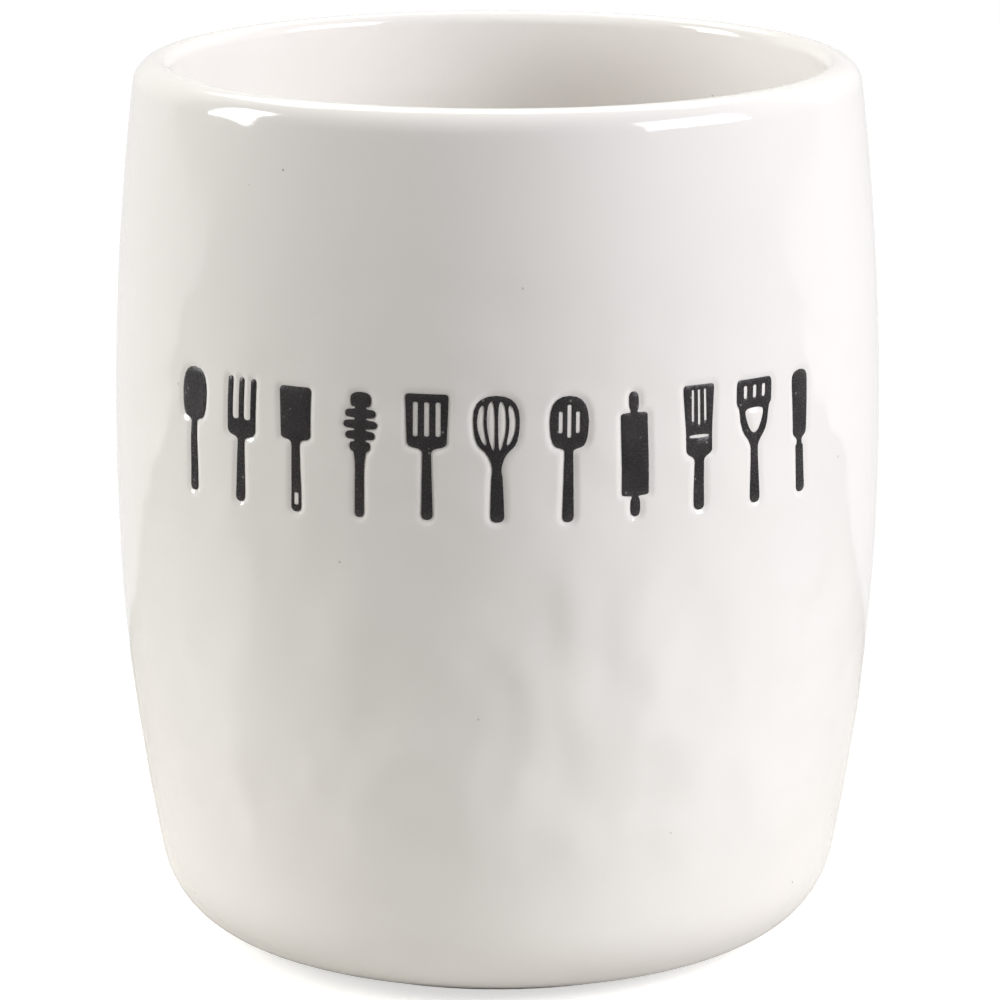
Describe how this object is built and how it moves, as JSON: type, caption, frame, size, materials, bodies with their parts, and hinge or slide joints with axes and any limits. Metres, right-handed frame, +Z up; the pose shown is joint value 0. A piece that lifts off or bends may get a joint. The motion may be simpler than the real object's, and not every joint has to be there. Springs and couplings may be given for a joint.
{
  "type": "utensil holder",
  "caption": "Barrel-shaped stoneware crock with a thick rounded lip and a white gloss glaze, open at the top to hold kitchen utensils upright on a counter.",
  "frame": {"origin": "centre of the circle that the foot ring stands on", "axes": "+Z up along the crock's axis; -Y is the side with the stamped marks"},
  "size_m": [0.14, 0.14, 0.163],
  "materials": {
    "bare_clay": "bare fired stoneware, matt and slightly gritty",
    "white_glaze": "warm white gloss glaze with soft dents and a few pinholes",
    "stamp_fill": "dark ceramic stain rubbed into stamped marks"
  },
  "bodies": {
    "root": {"clay_body": "bare_clay", "glaze_coat": "white_glaze", "underside_glaze": "white_glaze"}
  },
  "joints": []
}
